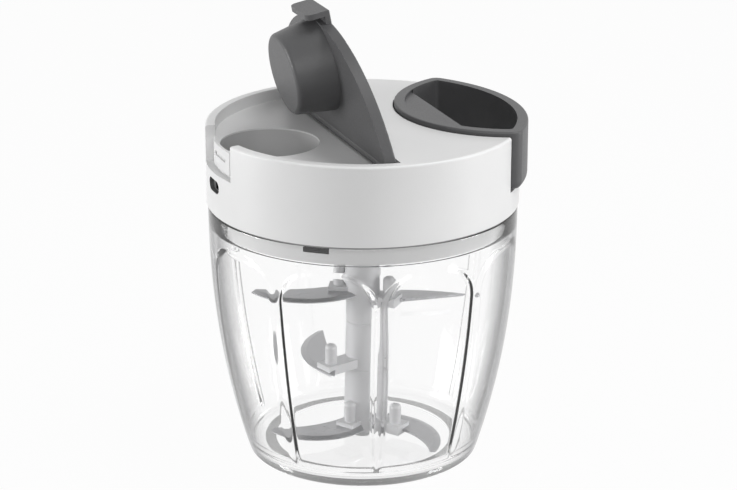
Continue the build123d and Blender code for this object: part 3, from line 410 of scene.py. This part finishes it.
def braidedCord(name, finish):
    material, tree, shader, centred = blankMaterial(name)
    strands = tree.nodes.new("ShaderNodeTexWave")
    strands.wave_type = "BANDS"
    strands.bands_direction = "DIAGONAL"
    strands.inputs["Scale"].default_value = finish["strandScale"]
    strands.inputs["Distortion"].default_value = finish["warp"]
    tree.links.new(centred.outputs["Vector"], strands.inputs["Vector"])
    paint(tree, shader, strands.outputs["Fac"], finish)
    addBump(tree, shader, strands.outputs["Fac"], finish["strand"])
    shader.inputs["Roughness"].default_value = finish["rough"]
    return material


cordMaterial = braidedCord("cordBraid", cordFinish)
dress(cordMaterial, "cord_lead", "cord_tail", "wound_cord")
print("plastics, steels and cord dressed")


# Bowl

bowl = {
    "height": 0.1095, "rimRadius": 0.0645, "footRadius": 0.0485, "curve": 2.2, "wall": 0.0022,
    "floor": 0.0045, "ledge": 0.1017, "footRound": 0.0025, "floorRound": 0.0030, "rimRound": 0.0006,
    "outerPieces": 48, "innerPieces": 110, "ledgeRound": 0.0003, "footClear": 0.0008, "rimClear": 0.0010,
    "floorClear": 0.0005, "ledgeClear": 0.0006, "merge": 0.000002,
    "grooveInner": 0.03750, "grooveOuter": 0.04210, "grooveTop": 0.0031,
    "pinHole": 0.00206, "pinSeat": 0.0015,
    "ribs": 9, "ribHeight": 0.0009, "ribWidth": 0.0028, "ribAngle": math.radians(-104.6),
    "panelLow": 0.0085, "panelHigh": 0.0975, "panelCorner": 0.0150, "panelSoft": 0.0022,
    "panelLap": 0.0020, "ribShare": 0.9, "steps": 486,
}


def wallRadius(height):
    drop = (bowl["rimRadius"] - bowl["footRadius"]) * (1 - height / bowl["height"]) ** bowl["curve"]
    return bowl["rimRadius"] - drop


def wallLine(low, high, inset, pieces):
    heights = [low + (high - low) * step / pieces for step in range(pieces + 1)]
    return [Vector((wallRadius(height) - inset, 0, height)) for height in heights]


def roundedCorner(before, corner, after, radius, pieces=6):  # an arc that touches both sides of a corner
    first = (before - corner).normalized()
    second = (after - corner).normalized()
    half = first.angle(second) / 2
    centre = corner + (first + second).normalized() * radius / math.sin(half)
    start = corner + first * radius / math.tan(half) - centre
    end = corner + second * radius / math.tan(half) - centre
    return [centre + start.slerp(end, step / pieces) * radius for step in range(pieces + 1)]


def bowlOutline():
    outer = wallLine(0.0, bowl["height"], 0.0, bowl["outerPieces"])
    inset = bowl["wall"] + bowl["ribHeight"]
    inner = wallLine(bowl["floor"], bowl["ledge"], inset, bowl["innerPieces"])
    neck = bowl["rimRadius"] - bowl["wall"]
    seat = [
        Vector((bowl["grooveInner"], 0, 0)), Vector((bowl["grooveInner"], 0, bowl["grooveTop"])),
        Vector((bowl["grooveOuter"], 0, bowl["grooveTop"])), Vector((bowl["grooveOuter"], 0, 0)),
    ]
    rim = [
        Vector((bowl["rimRadius"], 0, bowl["height"])), Vector((neck, 0, bowl["height"])),
        Vector((neck, 0, bowl["ledge"])),
    ]
    pin = [
        Vector((bowl["pinHole"], 0, bowl["floor"])), Vector((bowl["pinHole"], 0, bowl["pinSeat"])),
        Vector((0, 0, bowl["pinSeat"])),
    ]
    line = [Vector((0, 0, 0))] + seat
    line += roundedCorner(seat[-1], outer[0], outer[3], bowl["footRound"])
    low, high = line[-1].z + bowl["footClear"], bowl["height"] - bowl["rimClear"]
    line += [point for point in outer if low < point.z < high]
    line += roundedCorner(line[-1], rim[0], rim[1], bowl["rimRound"])
    line += roundedCorner(rim[0], rim[1], rim[2], bowl["rimRound"])
    line += roundedCorner(rim[1], rim[2], inner[-1], bowl["ledgeRound"], 3)
    line += roundedCorner(rim[2], inner[-1], inner[-2], bowl["ledgeRound"], 3)
    foot = roundedCorner(inner[6], inner[0], pin[0], bowl["floorRound"], 8)
    low, high = foot[0].z + bowl["floorClear"], bowl["ledge"] - bowl["ledgeClear"]
    line += [point for point in reversed(inner) if low < point.z < high]
    return line + foot + pin


def panelShare(radius, angle, height):  # 1 inside a panel, 0 on the ribs between them
    pitch = 2 * math.pi / bowl["ribs"]
    across = (angle - bowl["ribAngle"]) % pitch - pitch / 2
    share = (height - bowl["panelLow"]) / (bowl["panelHigh"] - bowl["panelLow"])
    halves = [
        (wallRadius(level) - bowl["wall"]) * math.sin(pitch / 2) - bowl["ribWidth"] / 2
        for level in (bowl["panelLow"], bowl["panelHigh"])
    ]
    half = halves[0] + (halves[1] - halves[0]) * share
    side = half - abs(radius * math.sin(across))
    top = bowl["panelHigh"] - height
    inside = min(side, top, height - bowl["panelLow"])
    corner = bowl["panelCorner"]
    if side < corner and top < corner:
        inside = corner - math.hypot(corner - side, corner - top)
    share = min(max(inside / bowl["panelSoft"] + 0.5, 0.0), 1.0)
    return share * share * (3 - 2 * share)


def makeBowl():
    bm = bmesh.new()
    line = [bm.verts.new(point) for point in bowlOutline()]
    edges = [bm.edges.new(pair) for pair in zip(line, line[1:])]
    bmesh.ops.spin(
        bm, geom=line + edges, cent=(0, 0, 0), axis=(0, 0, 1), angle=2 * math.pi,
        steps=bowl["steps"], use_merge=True
    )
    bmesh.ops.remove_doubles(bm, verts=bm.verts, dist=bowl["merge"])
    ribLine = bowl["wall"] + bowl["ribHeight"] * bowl["ribShare"]
    low, high = bowl["panelLow"] - bowl["panelLap"], bowl["panelHigh"] + bowl["panelLap"]
    for vert in bm.verts:
        radius = math.hypot(vert.co.x, vert.co.y)
        if low < vert.co.z < high and radius < wallRadius(vert.co.z) - ribLine:
            share = panelShare(radius, math.atan2(vert.co.y, vert.co.x), vert.co.z)
            grown = 1 + bowl["ribHeight"] * share / radius
            vert.co.x *= grown
            vert.co.y *= grown
    bmesh.ops.recalc_face_normals(bm, faces=bm.faces)
    return bm


sharpFrom = math.radians(38)  # edges that turn more than this stay crisp


def makePiece(name, bm, material, body):
    mesh = bpy.data.meshes.new(name)
    bm.to_mesh(mesh)
    bm.free()
    for face in mesh.polygons:
        face.use_smooth = True
    mesh.set_sharp_from_angle(angle=sharpFrom)
    mesh.materials.append(material)
    piece = bpy.data.objects.new(name, mesh)
    bpy.context.scene.collection.objects.link(piece)
    if body:
        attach(piece, body)
    return piece


# The edge colour is painted shade: the clear plastic turns grey where its walls are seen at a slant.
bowlFinish = {
    "tint": (1.0, 1.0, 1.0), "edge": (0.10, 0.10, 0.105), "edgeFrom": 0.50, "edgeTo": 0.78, "blend": 0.5,
    "levelFrom": 0.55, "levelTo": 0.90, "ior": 1.49, "rough": 0.01, "waveScale": 24.0, "wave": 0.00025,
    "grey": (0.5, 0.5, 0.5), "density": 9.0, "shadow": (0.96, 0.96, 0.96),
}


def clearPlastic(name, finish):
    material, tree, shader, centred = blankMaterial(name)
    # Painted shade: where a wall is seen at a slant, the base colour runs from clear to dark grey and
    # stands for the dark bands at the bowl's edges; the level floor stays clear.
    facing = tree.nodes.new("ShaderNodeLayerWeight")
    facing.inputs["Blend"].default_value = finish["blend"]
    band = tree.nodes.new("ShaderNodeValToRGB")
    band.color_ramp.elements[0].position = finish["edgeFrom"]
    band.color_ramp.elements[0].color = finish["tint"] + (1,)
    band.color_ramp.elements[1].position = finish["edgeTo"]
    band.color_ramp.elements[1].color = finish["edge"] + (1,)
    place = tree.nodes.new("ShaderNodeTexCoord")
    slope = tree.nodes.new("ShaderNodeSeparateXYZ")
    level = tree.nodes.new("ShaderNodeMath")
    level.operation = "ABSOLUTE"
    upright = tree.nodes.new("ShaderNodeMapRange")  # 1 on the walls, 0 on the bowl's level floor
    upright.inputs["From Min"].default_value = finish["levelFrom"]
    upright.inputs["From Max"].default_value = finish["levelTo"]
    upright.inputs["To Min"].default_value = 1.0
    upright.inputs["To Max"].default_value = 0.0
    tree.links.new(place.outputs["Normal"], slope.inputs[0])
    tree.links.new(slope.outputs["Z"], level.inputs[0])
    tree.links.new(level.outputs[0], upright.inputs["Value"])
    tree.links.new(joined(tree, facing.outputs["Facing"], upright.outputs["Result"]), band.inputs["Fac"])
    tree.links.new(band.outputs["Color"], shader.inputs["Base Color"])
    shader.inputs["Transmission Weight"].default_value = 1.0
    shader.inputs["IOR"].default_value = finish["ior"]
    shader.inputs["Roughness"].default_value = finish["rough"]
    waves = addNoise(tree, centred, finish["waveScale"], 1.0)
    addBump(tree, shader, waves.outputs["Fac"], finish["wave"])
    clear = tree.nodes.new("ShaderNodeBsdfTransparent")
    clear.inputs["Color"].default_value = finish["shadow"] + (1,)
    path = tree.nodes.new("ShaderNodeLightPath")
    soft = tree.nodes.new("ShaderNodeMath")
    soft.operation = "MAXIMUM"
    through = tree.nodes.new("ShaderNodeMixShader")
    depth = tree.nodes.new("ShaderNodeVolumeAbsorption")
    depth.inputs["Color"].default_value = finish["grey"] + (1,)
    depth.inputs["Density"].default_value = finish["density"]
    output = [node for node in tree.nodes if node.type == "OUTPUT_MATERIAL"][0]
    tree.links.new(path.outputs["Is Shadow Ray"], soft.inputs[0])
    tree.links.new(path.outputs["Is Diffuse Ray"], soft.inputs[1])
    tree.links.new(soft.outputs[0], through.inputs[0])
    tree.links.new(shader.outputs[0], through.inputs[1])
    tree.links.new(clear.outputs[0], through.inputs[2])
    tree.links.new(through.outputs[0], output.inputs["Surface"])
    tree.links.new(depth.outputs[0], output.inputs["Volume"])
    return material


bowlMaterial = clearPlastic("clearPlastic", bowlFinish)
clearBowl = makePiece("clearBowl", makeBowl(), bowlMaterial, "bowl")
dress(bowlMaterial, "bowl")
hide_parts("bowl")

key = {
    "angle": math.radians(4.0), "width": 0.0080, "low": 0.1029, "high": 0.1069,
    "inner": 0.0608, "outer": 0.0623, "round": 0.12, "roundSteps": 3,
}


def makeKeys():  # two lugs inside the rim that the lid turns under
    bm = bmesh.new()
    for middle in (key["angle"], key["angle"] + math.pi):
        made = bmesh.ops.create_cube(bm, size=1.0)["verts"]
        edges = list({edge for vert in made for edge in vert.link_edges})
        rounded = bmesh.ops.bevel(
            bm, geom=edges, offset=key["round"], segments=key["roundSteps"], profile=0.5,
            affect="EDGES", material=-1
        )["verts"]
        for vert in rounded:
            radius = key["inner"] + (vert.co.x + 0.5) * (key["outer"] - key["inner"])
            angle = middle + vert.co.y * key["width"] / radius
            height = key["low"] + (vert.co.z + 0.5) * (key["high"] - key["low"])
            vert.co = (radius * math.cos(angle), radius * math.sin(angle), height)
    bmesh.ops.recalc_face_normals(bm, faces=bm.faces)
    return bm


makePiece("bowlKeys", makeKeys(), bowlMaterial, "bowl")
print("bowl made")


# Sleeve of the blade hub

hubSleeve = {
    "inner": 0.0045, "low": 0.00495, "high": 0.0772, "footRadius": 0.0082, "footRound": 0.0026,
    "seams": ((0.0077, 0.0354), (0.0072, 0.0563)), "groove": 0.0003, "topRadius": 0.0072, "steps": 96,
}


def makeHubSleeve():  # the hub's outer wall, with a fine groove at each seam between its three pieces
    low, groove = hubSleeve["low"], hubSleeve["groove"]
    outer = [(hubSleeve["footRadius"] - hubSleeve["footRound"], low)]
    outer.append((hubSleeve["footRadius"], low + hubSleeve["footRound"]))
    for radius, level in hubSleeve["seams"]:
        outer += [(radius, level - groove), (radius - groove, level), (radius, level + groove)]
    outer.append((hubSleeve["topRadius"], hubSleeve["high"]))
    outline = [(hubSleeve["inner"], low)] + outer + [(hubSleeve["inner"], hubSleeve["high"])]
    bm = bmesh.new()
    line = [bm.verts.new((radius, 0, level)) for radius, level in outline]
    edges = [bm.edges.new(pair) for pair in zip(line, line[1:] + line[:1])]
    bmesh.ops.spin(
        bm, geom=line + edges, cent=(0, 0, 0), axis=(0, 0, 1), angle=2 * math.pi,
        steps=hubSleeve["steps"], use_merge=True
    )
    bmesh.ops.recalc_face_normals(bm, faces=bm.faces)
    return bm


makePiece("hubSleeve", makeHubSleeve(), hubPlastic, "blades")
print("hub sleeve made")


# Cord between the lid and the handle

cordSpan = {
    "start": 0.0150, "end": 0.0205, "height": 0.1238, "radius": 0.0008,
    "strands": 3, "strandSides": 6, "valley": 0.12, "turns": 1.5, "steps": 36,
}


def makeCordSpan():
    bm = bmesh.new()
    sides = cordSpan["strandSides"] * cordSpan["strands"]
    made = bmesh.ops.create_circle(bm, cap_ends=True, radius=cordSpan["radius"], segments=sides)
    for vert in made["verts"]:
        angle = math.atan2(vert.co.y, vert.co.x)
        crown = abs(math.cos(angle * cordSpan["strands"] / 2))
        vert.co *= 1 - cordSpan["valley"] * (1 - crown)
    bmesh.ops.rotate(bm, verts=bm.verts, matrix=Matrix.Rotation(math.pi / 2, 3, "Y"))
    bmesh.ops.translate(bm, verts=bm.verts, vec=(cordSpan["start"], 0, cordSpan["height"]))
    face = bm.faces[:][0]
    step = (cordSpan["end"] - cordSpan["start"]) / cordSpan["steps"]
    for number in range(cordSpan["steps"]):
        grown = bmesh.ops.extrude_discrete_faces(bm, faces=[face])
        face = grown["faces"][0]
        turn = Matrix.Rotation(2 * math.pi * cordSpan["turns"] / cordSpan["steps"], 3, "X")
        bmesh.ops.rotate(bm, verts=face.verts, cent=(0, 0, cordSpan["height"]), matrix=turn)
        bmesh.ops.translate(bm, verts=face.verts, vec=(step, 0, 0))
    bmesh.ops.recalc_face_normals(bm, faces=bm.faces)
    return bm


span = makePiece("cordSpan", makeCordSpan(), cordMaterial, None)
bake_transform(span)
print("cord span made")
